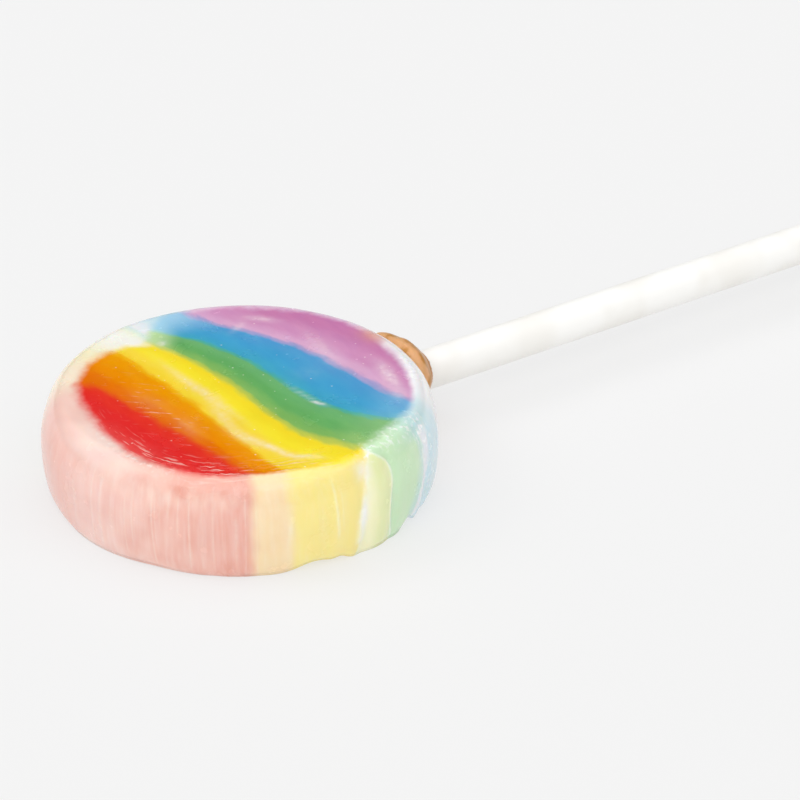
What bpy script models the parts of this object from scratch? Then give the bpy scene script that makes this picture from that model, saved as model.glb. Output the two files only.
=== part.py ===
"""Striped boiled-sugar lollipop, lying on its back with its paper stick along +X.

Six coloured ropes of sugar lie side by side through the whole head, wrapped in one
jacket of milky pulled sugar. The stick runs into the head through a lump of amber
syrup. Units are metres and +Z is up. The origin is on the floor, under the middle
of the head.
"""

import math

import bmesh
import bpy
import numpy as np

MM = 0.001

# Driving dimensions of the head
HEAD_RADIUS = 19.3 * MM
HEAD_THICKNESS = 10.2 * MM
WAIST_HEIGHT = 5.0 * MM
SHOULDER_WIDTH = 2.6 * MM
FOOT_WIDTH = 0.95 * MM
CORE_RADIUS = 16.3 * MM
SEAM_GAP = 0.3 * MM

# Uneven places round the head: middle and half width in degrees from the stick, then size
CORE_BAYS = (
    (104, 19, -2.5 * MM),
    (160, 38, -0.9 * MM),
    (-142, 23, 1.2 * MM),
    (-90, 10, 1.3 * MM),
)
JACKET_FOLDS = (
    (-85, 2.6, -0.45 * MM),
    (-79, 3.4, 0.22 * MM),
    (-74, 1.8, -0.30 * MM),
    (-56, 2.6, -0.40 * MM),
    (-98, 2.4, -0.16 * MM),
    (-118, 2.2, -0.14 * MM),
    (-131, 2.4, -0.16 * MM),
    (-150, 3.0, -0.14 * MM),
    (62, 3.2, -0.20 * MM),
    (98, 2.6, -0.24 * MM),
    (141, 3.0, -0.18 * MM),
)
FOOT_LIFTS = (
    (-101, 7, 0.75 * MM),
    (-92.5, 2.6, 0.40 * MM),
    (-64.5, 3, 1.00 * MM),
    (-47, 9, 0.55 * MM),
    (-150, 12, 0.20 * MM),
    (35, 9, 0.50 * MM),
    (104, 8, 0.40 * MM),
    (168, 10, 0.30 * MM),
)

# Where each seam between two stripes crosses five lines drawn over the head, in millimetres
SEAM_LINES = (-16, -8, 0, 8, 16)
SEAM_CROSSINGS = (
    (-7.9, -9.0, -9.9, -11.0, -12.6),
    (-5.2, -5.6, -5.3, -5.5, -6.3),
    (2.4, -0.7, -0.5, -1.2, -3.6),
    (11.9, 5.0, 4.0, 2.7, -1.8),
    (15.4, 10.8, 9.9, 7.1, 3.8),
)
STRIPE_TIP_WIDTH = 0.5 * MM

# Stick and the syrup lump round its entry
STICK_RADIUS = 2.0 * MM
STICK_LENGTH = 100.0 * MM
STICK_SUNK = 17.6 * MM
STICK_HEIGHT = 5.15 * MM
STICK_EDGE = 0.2 * MM
BORE_RADIUS = STICK_RADIUS + SEAM_GAP
BORE_LENGTH = 30.0 * MM
COLLAR_CENTRE = (18.75 * MM, 0.3 * MM, 5.9 * MM)
COLLAR_PROUD = 2.2 * MM
COLLAR_SUNK = 1.4 * MM
COLLAR_HALF_WIDTH = 4.8 * MM
COLLAR_RISE = 3.6 * MM
COLLAR_DROP = 3.9 * MM
COLLAR_LUMPS = ((40, 16, 0.06), (78, 14, -0.05), (128, 18, 0.05), (205, 20, -0.06), (300, 24, 0.05))

# Fineness of the surfaces
ROUND_STEPS = 128
SHOULDER_STEPS = 6
FOOT_STEPS = 4
STRIPE_ROWS = 26
STRIPE_COLUMNS = 5
COLLAR_STEPS = (28, 14)
STICK_SIDES = 40
OUTLINE_STEPS = 2880
SHARP_ANGLE = math.radians(40)

COLOURS = {
    "jacket": (0.930, 0.700, 0.610),
    "stripe_red": (0.760, 0.035, 0.045),
    "stripe_orange": (0.820, 0.230, 0.008),
    "stripe_yellow": (0.930, 0.700, 0.090),
    "stripe_green": (0.170, 0.470, 0.120),
    "stripe_blue": (0.075, 0.370, 0.660),
    "stripe_violet": (0.640, 0.270, 0.520),
    "amber_collar": (0.660, 0.330, 0.110),
    "paper_stick": (0.930, 0.925, 0.905),
}
STRIPES = [name for name in COLOURS if name.startswith("stripe")]
ROUGHNESS = {"paper_stick": 0.7, "jacket": 0.3}
DEFAULT_ROUGHNESS = 0.18


# Shape of the head

def bumps(angle, places):
    """Sum of smooth bumps round the head, one for each (middle, half width, size)."""
    total = np.zeros_like(angle)
    for middle, half_width, size in places:
        offset = (np.degrees(angle) - middle + 180) % 360 - 180
        total += size * np.exp(-((offset / half_width) ** 2))
    return total


def core_radius(angle):
    """Radius of the striped core, an uneven circle."""
    return CORE_RADIUS + bumps(angle, CORE_BAYS)


def top_height(radius):
    """Height of the face: flat, then a quarter ellipse down over the shoulder."""
    inner = HEAD_RADIUS - SHOULDER_WIDTH
    share = np.clip((radius - inner) / SHOULDER_WIDTH, 0, 1)
    return WAIST_HEIGHT + (HEAD_THICKNESS - WAIST_HEIGHT) * np.sqrt(1 - share ** 2)


def seam(index, y):
    """X of the seam after stripe number index, a smooth curve through its crossings."""
    curve = np.polyfit(SEAM_LINES, SEAM_CROSSINGS[index], len(SEAM_LINES) - 1)
    across = np.polyval(curve, y / MM)
    slope = np.polyval(np.polyder(curve), y / MM)
    return across * MM, np.sqrt(1 + slope ** 2) * SEAM_GAP / 2


def core_sides(y):
    """Left and right X of the core's outline at each y, crossed over where y is outside it."""
    angle = np.linspace(0, 2 * math.pi, OUTLINE_STEPS, endpoint=False)
    radius = core_radius(angle) - SEAM_GAP / 2
    low = np.argmin(radius * np.sin(angle))
    outline_x = np.roll(radius * np.cos(angle), -low)
    outline_y = np.roll(radius * np.sin(angle), -low)
    high = np.argmax(outline_y)
    right = np.interp(y, outline_y[:high], outline_x[:high], left=-1, right=-1)
    left = np.interp(y, outline_y[:high:-1], outline_x[:high:-1], left=1, right=1)
    return left, right


def stripe_sides(index, y):
    """Left and right X of one stripe at each y, from its seams and the core's outline."""
    left, right = core_sides(y)
    if index > 0:
        across, half_gap = seam(index - 1, y)
        left = np.maximum(left, across + half_gap)
    if index < len(SEAM_CROSSINGS):
        across, half_gap = seam(index, y)
        right = np.minimum(right, across - half_gap)
    return left, right


# Mesh builders

def make_object(name, points, faces):
    """Object of one closed mesh, its faces turned outwards and its sharp edges kept."""
    mesh = bpy.data.meshes.new(name)
    mesh.from_pydata([tuple(point) for point in points], [], faces)
    work = bmesh.new()
    work.from_mesh(mesh)
    bmesh.ops.recalc_face_normals(work, faces=work.faces)
    work.to_mesh(mesh)
    work.free()
    mesh.shade_smooth()
    mesh.set_sharp_from_angle(angle=SHARP_ANGLE)
    thing = bpy.data.objects.new(name, mesh)
    bpy.context.collection.objects.link(thing)
    return thing


def ring_faces(rows, columns, close_rows):
    """Quads of a grid that closes round its columns and, if asked, round its rows too."""
    faces = []
    for row in range(rows if close_rows else rows - 1):
        below = (row + 1) % rows
        for column in range(columns):
            beside = (column + 1) % columns
            faces.append((
                row * columns + column,
                row * columns + beside,
                below * columns + beside,
                below * columns + column,
            ))
    return faces


def make_jacket():
    """Milky ring: face edge, shoulder, barrel wall, foot and inner wall, with its folds."""
    angle = np.linspace(0, 2 * math.pi, ROUND_STEPS, endpoint=False)
    inner = core_radius(angle) + SEAM_GAP / 2
    fold = bumps(angle, JACKET_FOLDS)
    lift = bumps(angle, FOOT_LIFTS)
    rings = []
    for turn in np.linspace(0, math.pi / 2, SHOULDER_STEPS + 1):
        radius = inner + (HEAD_RADIUS - inner) * math.sin(turn)
        rings.append((radius + fold * math.sin(turn) ** 2, top_height(radius)))
    for turn in np.linspace(0, math.pi / 2, FOOT_STEPS + 1)[1:]:
        radius = HEAD_RADIUS - FOOT_WIDTH * (1 - math.cos(turn))
        height = WAIST_HEIGHT * (1 - math.sin(turn)) + lift * math.sin(turn) ** 4
        rings.append((radius + fold, height))
    rings.append((inner, np.zeros_like(angle)))
    points = []
    for radius, height in rings:
        points += list(zip(radius * np.cos(angle), radius * np.sin(angle), height))
    return make_object("jacket", points, ring_faces(len(rings), ROUND_STEPS, True))


def make_stripe(index, name):
    """One rope of coloured sugar: rows across the stripe, on the face and on the underside."""
    scan = np.linspace(-HEAD_RADIUS, HEAD_RADIUS, 3001)
    left, right = stripe_sides(index, scan)
    wide = scan[right - left > STRIPE_TIP_WIDTH]
    turn = np.linspace(0, math.pi, STRIPE_ROWS)
    rows = (wide[0] + wide[-1]) / 2 - (wide[-1] - wide[0]) / 2 * np.cos(turn)
    left, right = stripe_sides(index, rows)
    share = np.linspace(0, 1, STRIPE_COLUMNS)
    x = left[:, None] + (right - left)[:, None] * share
    y = np.repeat(rows[:, None], STRIPE_COLUMNS, axis=1)
    top = top_height(np.hypot(x, y))
    points = []
    faces = []
    for row in range(STRIPE_ROWS):
        points += [(x[row, k], y[row, k], top[row, k]) for k in range(STRIPE_COLUMNS)]
        points += [(x[row, -1 - k], y[row, -1 - k], 0.0) for k in range(STRIPE_COLUMNS)]
    belt = 2 * STRIPE_COLUMNS
    faces += ring_faces(STRIPE_ROWS, belt, False)
    last = (STRIPE_ROWS - 1) * belt
    for first in (0, last):
        for k in range(STRIPE_COLUMNS - 1):
            faces.append((first + k, first + k + 1, first + belt - 2 - k, first + belt - 1 - k))
    return make_object(name, points, faces)


def make_lump(name, margin):
    """Flattened, uneven ball of syrup, grown by a margin where it is the pocket's cutter."""
    around, down = COLLAR_STEPS
    angle = np.linspace(0, 2 * math.pi, around, endpoint=False)
    uneven = 1 + bumps(angle, COLLAR_LUMPS)
    half_width = COLLAR_HALF_WIDTH + margin
    half_height = np.where(np.sin(angle) > 0, COLLAR_RISE, COLLAR_DROP) + margin
    centre = np.array(COLLAR_CENTRE)
    points = []
    for turn in np.linspace(0, math.pi, down + 1)[1:-1]:
        reach = (COLLAR_PROUD if turn < math.pi / 2 else COLLAR_SUNK) + margin
        along = np.full(around, reach * math.cos(turn))
        across = half_width * math.sin(turn) * uneven * np.cos(angle)
        up = half_height * math.sin(turn) * uneven * np.sin(angle)
        points += list(np.stack([along, across, up], axis=-1) + centre)
    faces = ring_faces(down - 1, around, False)
    first_pole = len(points)
    points += [centre + (COLLAR_PROUD + margin, 0, 0), centre - (COLLAR_SUNK + margin, 0, 0)]
    last_ring = (down - 2) * around
    for column in range(around):
        beside = (column + 1) % around
        faces.append((first_pole, beside, column))
        faces.append((first_pole + 1, last_ring + column, last_ring + beside))
    return make_object(name, points, faces)


def make_rod(name, start, end, radius):
    """Round rod along X at the stick's height."""
    mesh = bpy.data.meshes.new(name)
    work = bmesh.new()
    bmesh.ops.create_cone(
        work,
        cap_ends=True,
        segments=STICK_SIDES,
        radius1=radius,
        radius2=radius,
        depth=end - start,
    )
    work.to_mesh(mesh)
    work.free()
    mesh.shade_smooth()
    mesh.set_sharp_from_angle(angle=SHARP_ANGLE)
    rod = bpy.data.objects.new(name, mesh)
    rod.rotation_euler = (0, math.pi / 2, 0)
    rod.location = ((start + end) / 2, 0, STICK_HEIGHT)
    bpy.context.collection.objects.link(rod)
    return rod


# Finish and joinery

def set_material(thing):
    """Give a piece its own Principled material."""
    material = bpy.data.materials.new(thing.name)
    material.use_nodes = True
    shader = material.node_tree.nodes["Principled BSDF"]
    shader.inputs["Base Color"].default_value = (*COLOURS[thing.name], 1)
    shader.inputs["Roughness"].default_value = ROUGHNESS.get(thing.name, DEFAULT_ROUGHNESS)
    shader.inputs["Metallic"].default_value = 0
    thing.data.materials.append(material)


def cut(thing, cutter):
    """Cut one shape out of a piece."""
    modifier = thing.modifiers.new(cutter.name, "BOOLEAN")
    modifier.operation = "DIFFERENCE"
    modifier.solver = "EXACT"
    modifier.object = cutter


def hide_cutter(cutter):
    """Keep a cutting shape out of the picture."""
    cutter.hide_render = True
    cutter.display_type = "WIRE"


def round_stick_ends(stick):
    """Soften the cut edges at the two ends of the stick."""
    modifier = stick.modifiers.new("cut_edges", "BEVEL")
    modifier.width = STICK_EDGE
    modifier.segments = 2
    modifier.limit_method = "ANGLE"


def main():
    for old in list(bpy.data.objects):
        bpy.data.objects.remove(old, do_unlink=True)

    sunk_end = HEAD_RADIUS - STICK_SUNK
    bore = make_rod("stick_bore", sunk_end - SEAM_GAP, sunk_end + BORE_LENGTH, BORE_RADIUS)
    pocket = make_lump("collar_pocket", SEAM_GAP)
    hide_cutter(bore)
    hide_cutter(pocket)

    jacket = make_jacket()
    cut(jacket, pocket)
    cut(jacket, bore)
    stripes = [make_stripe(index, name) for index, name in enumerate(STRIPES)]
    for stripe in stripes:
        if stripe.name in ("stripe_green", "stripe_blue", "stripe_violet"):
            cut(stripe, bore)
    collar = make_lump("amber_collar", 0)
    cut(collar, bore)
    stick = make_rod("paper_stick", sunk_end, sunk_end + STICK_LENGTH, STICK_RADIUS)
    round_stick_ends(stick)

    for thing in (jacket, *stripes, collar, stick):
        set_material(thing)


main()
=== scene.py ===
# %% [markdown]
# A striped boiled-sugar lollipop, lying on its back
#
# Six ropes of coloured sugar are laid side by side, wrapped in a thick sheet of pulled,
# milky sugar, and the roll is cut into discs while it is soft. A paper stick is pushed in
# from the side through a lump of amber syrup. This script builds what the eye sees of it
# round the construction model, which it loads first and never moves.

# %% Load the construction model
import math

import bpy
import numpy as np
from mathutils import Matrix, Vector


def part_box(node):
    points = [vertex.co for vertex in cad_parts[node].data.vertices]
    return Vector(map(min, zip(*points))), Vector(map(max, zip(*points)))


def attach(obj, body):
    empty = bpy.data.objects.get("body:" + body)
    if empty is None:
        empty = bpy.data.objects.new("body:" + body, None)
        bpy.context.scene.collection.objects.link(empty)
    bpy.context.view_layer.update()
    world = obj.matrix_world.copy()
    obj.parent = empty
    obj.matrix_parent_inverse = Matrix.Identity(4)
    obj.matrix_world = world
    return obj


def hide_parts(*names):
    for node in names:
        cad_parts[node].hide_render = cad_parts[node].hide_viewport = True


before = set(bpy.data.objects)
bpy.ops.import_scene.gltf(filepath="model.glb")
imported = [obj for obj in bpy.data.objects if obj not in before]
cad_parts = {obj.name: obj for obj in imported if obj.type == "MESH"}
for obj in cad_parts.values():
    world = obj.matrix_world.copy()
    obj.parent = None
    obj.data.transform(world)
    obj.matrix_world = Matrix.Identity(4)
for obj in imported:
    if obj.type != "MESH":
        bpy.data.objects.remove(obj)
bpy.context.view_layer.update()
MM = 0.001
print("nodes:", sorted(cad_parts))

# %% [markdown]
# Helpers
#
# Colours are easiest to judge as the hex values of a picture, but a shader works with
# linear light, so one function turns the first into the second. Every new surface here is
# a grid of points worked out as whole numpy arrays, so one function turns such a grid into
# a mesh: quads between the rows, and a fan of triangles on each pole.

# %% Colour and node helpers


def linear(hex_code):
    """sRGB hex to linear RGBA: each channel c becomes ((c + 0.055) / 1.055) to the power 2.4."""
    values = np.array([int(hex_code[i:i + 2], 16) for i in (1, 3, 5)]) / 255
    low = values / 12.92
    high = ((values + 0.055) / 1.055) ** 2.4
    return (*np.where(values <= 0.04045, low, high).tolist(), 1.0)


def add_node(tree, kind, settings=None, **inputs):
    """Add one node. Settings are its own properties; inputs are socket values or links."""
    node = tree.nodes.new(kind)
    for key, value in (settings or {}).items():
        setattr(node, key, value)
    for key, value in inputs.items():
        place = int(key[1:]) if key[1:].isdigit() else key.replace("_", " ")
        if isinstance(value, bpy.types.NodeSocket):
            tree.links.new(value, node.inputs[place])
        else:
            node.inputs[place].default_value = value
    return node


def new_material(name):
    """Empty node material with one Principled shader, and that shader."""
    material = bpy.data.materials.new(name)
    material.use_nodes = True
    tree = material.node_tree
    tree.nodes.clear()
    shader = add_node(tree, "ShaderNodeBsdfPrincipled")
    output = add_node(tree, "ShaderNodeOutputMaterial")
    tree.links.new(shader.outputs["BSDF"], output.inputs["Surface"])
    return material, tree, shader


def set_values(shader, values):
    """Set constant values on the shader's own sockets."""
    for name, value in values.items():
        shader.inputs[name].default_value = value


def fill_ramp(node, stops, interpolation="EASE"):
    """Colour ramp stops: each is (place from 0 to 1, hex colour)."""
    ramp = node.color_ramp
    ramp.interpolation = interpolation
    while len(ramp.elements) > 1:
        ramp.elements.remove(ramp.elements[-1])
    ramp.elements[0].position = stops[0][0]
    ramp.elements[0].color = linear(stops[0][1])
    for place, hex_code in stops[1:]:
        ramp.elements.new(place).color = linear(hex_code)


# %% Grid to mesh


def grid_piece(name, rows, first_pole, last_pole):
    """Mesh object from rows of points, each row a closed ring, with a pole at each end.

    Point (i, j) joins (i, j + 1), (i + 1, j + 1) and (i + 1, j); j wraps round the ring.
    """
    count, around, _ = rows.shape
    index = np.arange(count * around).reshape(count, around)
    beside = np.roll(index, -1, axis=1)
    quads = np.stack([index[:-1], index[1:], beside[1:], beside[:-1]], axis=-1).reshape(-1, 4)
    pole = count * around
    first_fan = np.stack([np.full(around, pole), index[0], beside[0]], axis=-1)
    last_fan = np.stack([np.full(around, pole + 1), beside[-1], index[-1]], axis=-1)
    points = np.concatenate([rows.reshape(-1, 3), [first_pole, last_pole]])
    mesh = bpy.data.meshes.new(name)
    mesh.from_pydata(points.tolist(), [], quads.tolist() + first_fan.tolist() + last_fan.tolist())
    mesh.shade_smooth()
    piece = bpy.data.objects.new(name, mesh)
    bpy.context.scene.collection.objects.link(piece)
    triangles = sum(len(p.vertices) - 2 for p in mesh.polygons)
    print(name, "points", len(points), "triangles", triangles)
    return piece


def add_attribute(piece, name, grid, pole):
    """Store one number for each point of a grid piece, and one for both of its poles."""
    layer = piece.data.attributes.new(name, "FLOAT", "POINT")
    layer.data.foreach_set("value", np.append(grid.ravel(), [pole, pole]).astype(np.float32))


# %% [markdown]
# Camera
#
# The picture was taken with a long lens from 29 degrees above the table, looking almost
# along the stripes. The lens and distance below give the same gentle perspective.

# %% Camera
CAMERA_RISE = math.radians(29)
CAMERA_TURN = math.radians(-34.96)
CAMERA_DISTANCE = 450 * MM
CAMERA_TARGET = np.array([21.59, 4.05, 0.0]) * MM
CAMERA_LENS = 202.5
CAMERA_FILM = 36

camera_data = bpy.data.cameras.new("camera")
camera_data.lens = CAMERA_LENS
camera_data.sensor_width = CAMERA_FILM
camera = bpy.data.objects.new("camera", camera_data)
backwards = np.array([
    math.sin(CAMERA_TURN) * math.cos(CAMERA_RISE),
    -math.cos(CAMERA_TURN) * math.cos(CAMERA_RISE),
    math.sin(CAMERA_RISE),
])
camera.location = CAMERA_TARGET + CAMERA_DISTANCE * backwards
camera.rotation_euler = (math.pi / 2 - CAMERA_RISE, 0, CAMERA_TURN)
bpy.context.scene.collection.objects.link(camera)
bpy.context.scene.camera = camera
print("camera at", [round(v, 3) for v in camera.location])

# %% [markdown]
# The form of the head
#
# The head could be a squashed cylinder with a bevel, but the real one is uneven all the way
# round: the coloured core isn't a true circle, the jacket has folds where the sheet of sugar
# was wrapped, and its foot lifts off the table in places. So the form is a section curve
# whose sizes change with the angle round the head. Its thickness comes from the construction
# model's box, and the other sizes repeat its named places.

# %% Sizes of the head
HEAD_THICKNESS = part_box("jacket")[1].z
HEAD_RADIUS = 19.3 * MM
WAIST_HEIGHT = 5.0 * MM
SHOULDER_WIDTH = 2.6 * MM
FOOT_WIDTH = 0.95 * MM
CORE_RADIUS = 16.3 * MM
# How the core bulges, the jacket folds and the foot lifts off the table, all three with
# middle and half width in degrees from the stick, then size
CORE_BAYS = (
    (104, 19, -2.5 * MM),
    (160, 38, -0.9 * MM),
    (-142, 23, 1.2 * MM),
    (-90, 10, 1.3 * MM),
)
JACKET_FOLDS = (
    (-85, 2.6, -0.45 * MM),
    (-79, 3.4, 0.22 * MM),
    (-74, 1.8, -0.30 * MM),
    (-56, 2.6, -0.40 * MM),
    (-98, 2.4, -0.16 * MM),
    (-118, 2.2, -0.14 * MM),
    (-131, 2.4, -0.16 * MM),
    (-150, 3.0, -0.14 * MM),
    (62, 3.2, -0.20 * MM),
    (98, 2.6, -0.24 * MM),
    (141, 3.0, -0.05 * MM),
)
FOOT_LIFTS = (
    (-101, 7, 0.75 * MM),
    (-92.5, 2.6, 0.40 * MM),
    (-64.5, 3, 1.00 * MM),
    (-47, 9, 0.55 * MM),
    (-150, 12, 0.20 * MM),
    (35, 9, 0.50 * MM),
    (104, 8, 0.40 * MM),
    (168, 10, 0.30 * MM),
)
# Where each seam between two stripes crosses five lines over the head, in millimetres
SEAM_LINES = (-16, -8, 0, 8, 16)
SEAM_CROSSINGS = (
    (-7.9, -9.0, -9.9, -11.0, -12.6),
    (-5.2, -5.6, -5.3, -5.5, -6.3),
    (2.4, -0.7, -0.5, -1.2, -3.6),
    (11.9, 5.0, 4.0, 2.7, -1.8),
    (15.4, 10.8, 9.9, 7.1, 3.8),
)
SEAM_LIMIT = 17
print("head", round(2 * HEAD_RADIUS / MM, 1), "by", round(HEAD_THICKNESS / MM, 1), "mm")

# %% Curves of the head


def bell(value, middle, half_width):
    """Bell curve: exp(-(distance from the middle / half width) squared)."""
    return np.exp(-(((value - middle) / half_width) ** 2))


def bumps(angle, places):
    """Sum over the places of size times the bell curve of the angle from its middle."""
    total = np.zeros_like(angle)
    for middle, half_width, size in places:
        offset = (np.degrees(angle) - middle + 180) % 360 - 180
        total += size * bell(offset, 0, half_width)
    return total


def smooth_step(value, low, high):
    """0 below low, 1 above high, and 3t^2 - 2t^3 of the share t between."""
    share = np.clip((value - low) / (high - low), 0, 1)
    return share * share * (3 - 2 * share)


def top_height(radius):
    """Height of the face: flat, then a quarter ellipse down over the shoulder."""
    share = np.clip((radius - HEAD_RADIUS + SHOULDER_WIDTH) / SHOULDER_WIDTH, 0, 1)
    return WAIST_HEIGHT + (HEAD_THICKNESS - WAIST_HEIGHT) * np.sqrt(1 - share ** 2)


def seam(index, y):
    """X of one seam in metres: the quartic through its five crossings, held straight outside."""
    curve = np.polyfit(SEAM_LINES, SEAM_CROSSINGS[index], len(SEAM_LINES) - 1)
    inside = np.clip(y / MM, -SEAM_LIMIT, SEAM_LIMIT)
    slope = np.polyval(np.polyder(curve), inside)
    return (np.polyval(curve, inside) + slope * (y / MM - inside)) * MM


def soft_noise(x, y, z, wavelength, seed, waves=14):
    """Smooth noise from about -1 to 1: a mean of sine waves in seeded random directions.

    Each wave has a length of 0.6 to 1.6 wavelengths, so no repeat shows.
    """
    draw = np.random.default_rng(seed)
    total = np.zeros_like(x)
    for _ in range(waves):
        direction = draw.normal(size=3)
        direction /= np.linalg.norm(direction)
        push = 2 * math.pi / (wavelength * draw.uniform(0.6, 1.6))
        phase = draw.uniform(0, 2 * math.pi)
        total += np.sin(push * (direction[0] * x + direction[1] * y + direction[2] * z) + phase)
    return total / math.sqrt(waves)


# %% Section of the head
AROUND = 1100
FACE_RINGS = 28
SHOULDER_RINGS = 22
FOOT_RINGS = 26
UNDER_RINGS = 14
FACE_CROWDING = 1.3
UNDER_CROWDING = 0.8

angle = np.linspace(0, 2 * math.pi, AROUND, endpoint=False)[None, :]
core = CORE_RADIUS + bumps(angle, CORE_BAYS)
lift = bumps(angle, FOOT_LIFTS)

# The face: rings that follow the core's outline and crowd towards it
share = 1 - (1 - np.linspace(0, 1, FACE_RINGS + 1)[1:, None]) ** FACE_CROWDING
face_radius = core * share
# The shoulder: a quarter turn from the core's outline out to the waist
turn = np.linspace(0, math.pi / 2, SHOULDER_RINGS + 1)[1:, None]
shoulder_radius = core + (HEAD_RADIUS - core) * np.sin(turn)
# The foot: a quarter turn from the waist down to the table, lifted in places near its edge
drop = np.linspace(0, math.pi / 2, FOOT_RINGS + 1)[1:, None]
foot_radius = HEAD_RADIUS - FOOT_WIDTH * (1 - np.cos(drop)) + 0 * angle
foot_height = WAIST_HEIGHT * (1 - np.sin(drop)) + lift * np.sin(drop) ** 4
# The underside: from the foot's edge in to the middle
inward = np.linspace(1, 0, UNDER_RINGS + 1)[1:-1, None] ** UNDER_CROWDING
under_radius = foot_radius[-1:] * inward
under_height = lift * smooth_step(under_radius, core, foot_radius[-1:])

radius = np.concatenate([face_radius, shoulder_radius, foot_radius, under_radius])
height = np.concatenate([
    top_height(face_radius), top_height(shoulder_radius), foot_height, under_height,
])
x = radius * np.cos(angle)
y = radius * np.sin(angle)
degrees = np.degrees(angle) + 0 * radius
on_top = np.where(height > WAIST_HEIGHT, 1.0, 0.0)
print("section rings", radius.shape[0], "points round", radius.shape[1])

# %% [markdown]
# Where the colours lie
#
# The stripes could be six materials, but on the real sweet they melt into each other and
# into the jacket. So the head is one skin with a few numbers on each point, which a single
# material reads: the place across the stripes, the distance beyond the core's edge, the
# tint of the jacket, and where milk, wrinkles and pull lines lie.

# %% Stripes and the core's edge
STRIPES = len(SEAM_CROSSINGS) + 1
RED_WIDTH = 6.0 * MM
VIOLET_WIDTH = 6.5 * MM
# How far the colour reaches from the head's middle: degrees from the stick, millimetres
COLOUR_REACH = (
    (-180, 15.4), (-170, 15.7), (-160, 16.2), (-150, 16.7), (-138, 17.2), (-128, 17.0),
    (-120, 16.7), (-104, 16.9), (-95, 17.4), (-88, 17.7), (-82, 17.4), (-78, 16.4),
    (-66, 16.1), (-58, 16.4), (-50, 16.9), (-31, 16.5), (-20, 16.3), (-9, 16.2),
    (3, 16.6), (15, 16.8), (37, 16.7), (60, 16.7), (76, 16.9), (84, 16.9), (90, 15.6),
    (95, 14.6), (99, 13.4), (102, 12.8), (104.4, 13.0), (107, 13.7), (110, 14.2),
    (117, 15.0), (124, 15.5), (134, 15.7), (143, 15.8), (150, 15.6), (160, 15.2), (170, 15.1),
)
# The colour fades over half a millimetre in front and over about a millimetre elsewhere:
# millimetres in front, then degrees from the stick, half width, millimetres more
FRONT_FADE = 0.45
WIDER_FADES = ((165, 50, 0.45), (100, 24, 0.45), (45, 30, 0.65), (-8, 16, 0.45), (-66, 16, 0.6))
# The orange rope laps a little way round the end of the red one, by this share of a stripe
RED_END_LAP = 0.17


def stripe_coordinate():
    """Stripe number across the head: whole numbers on the seams, shared out evenly between."""
    seams = [seam(index, y) for index in range(STRIPES - 1)]
    across = 1 + (x - seams[0]) / RED_WIDTH
    for index in range(len(seams) - 1):
        inside = index + 1 + (x - seams[index]) / (seams[index + 1] - seams[index])
        across = np.where(x > seams[index], inside, across)
    return np.where(x > seams[-1], len(seams) + (x - seams[-1]) / VIOLET_WIDTH, across)


reach_degrees, reach_radius = np.array(COLOUR_REACH).T
reach = np.interp(np.degrees(angle), reach_degrees, reach_radius, period=360) * MM
beyond_colour = (radius - reach) / MM
beyond_core = (radius - core) / MM
cover_place = beyond_colour / (FRONT_FADE + bumps(angle, WIDER_FADES))
red_end = bell(x / MM, -12.2, 1.6) * bell(y / MM, 9.6, 1.8)
across = np.clip(stripe_coordinate() + RED_END_LAP * red_end, 0, STRIPES)
print("colour reach", round(float(reach.min() / MM), 1), "to", round(float(reach.max() / MM), 1))

# %% Jacket tints
# Lines down the wall where the sheet was lapped: each point is a height in mm, then degrees
FOLD_EDGE = ((8.6, -82.7), (7.3, -84.0), (6.4, -85.3), (4.2, -86.1), (2.6, -86.7), (0.4, -87.2))
LAP_EDGE = (
    (10, -79.4), (9.4, -76.4), (8.4, -74.5), (7, -73.9), (5.4, -75), (4.2, -75.6),
    (2.7, -75.4), (0.7, -74),
)
STRIP_LEFT = ((9.8, -54.5), (7.4, -56), (5.4, -57.4), (3.5, -60), (0.5, -62))
STRIP_RIGHT = ((9.4, -49.5), (7.8, -51.8), (6.5, -53.8), (4.6, -54.4), (3.2, -57), (0.5, -63))


def down_line(places):
    """Degrees from the stick of a line down the wall: the quartic in height nearest its points."""
    heights, middles = np.array(places).T
    return np.polyval(np.polyfit(heights, middles, 4), height / MM)


# Tints in order: 0 pink, 1 peach, 2 yellow, 3 pale lime, 4 green, 5 white, 6 blue, 7 clear,
# 8 lilac. Each border: middle and half width in degrees from the stick, tint beyond it
TINT_BORDERS = (
    (-119.6, 2.2, 1), (-108.6, 2.4, 2), (down_line(FOLD_EDGE), 0.9, 3), (-81, 2.5, 3.45),
    (down_line(LAP_EDGE), 0.6, 4), (down_line(STRIP_LEFT) - 3, 2.5, 4.5),
    (down_line(STRIP_LEFT), 0.6, 5), (down_line(STRIP_RIGHT), 1.0, 6), (-39, 5, 7), (6, 9, 8),
    (75, 5, 6), (92, 4, 5), (99, 4, 3), (112, 8, 2), (126, 8, 1), (147, 9, 0),
)
# The borders wander by about half a degree, in waves 1.5 to 4 mm long
BORDER_WANDER = 0.5

tint = np.zeros_like(radius)
last_tint = 0
signed = (degrees + 180) % 360 - 180
wandering = signed + BORDER_WANDER * soft_noise(x, y, height, 2.5 * MM, 31)
for middle, half_width, next_tint in TINT_BORDERS:
    past = smooth_step(wandering, middle - half_width, middle + half_width)
    tint += (next_tint - last_tint) * past
    last_tint = next_tint
print("tint", tint.min(), "to", tint.max())

# %% Pale places, painted light, mint and stain
# Places where the jacket is paler: degrees from the stick, half width, strength.
# The first row pales its whole height, the second its shoulder alone. At 136 and -170 degrees,
# and on the shoulder at 178, the paling is partly painted light on the back and left of the head,
# which the lamps leave dim; elsewhere the sugar takes less tint
PALE_PLACES = ((106, 14, 0.65), (136, 22, 0.35), (-28, 22, 0.15), (-170, 18, 0.22))
PALE_SHOULDERS = ((-30, 15, 0.8), (178, 20, 0.2))
# A breath of mint lies over the shoulder between the green rope and the blue one
MINT_SHOULDER = ((-54, 9, 0.85),)
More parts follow.
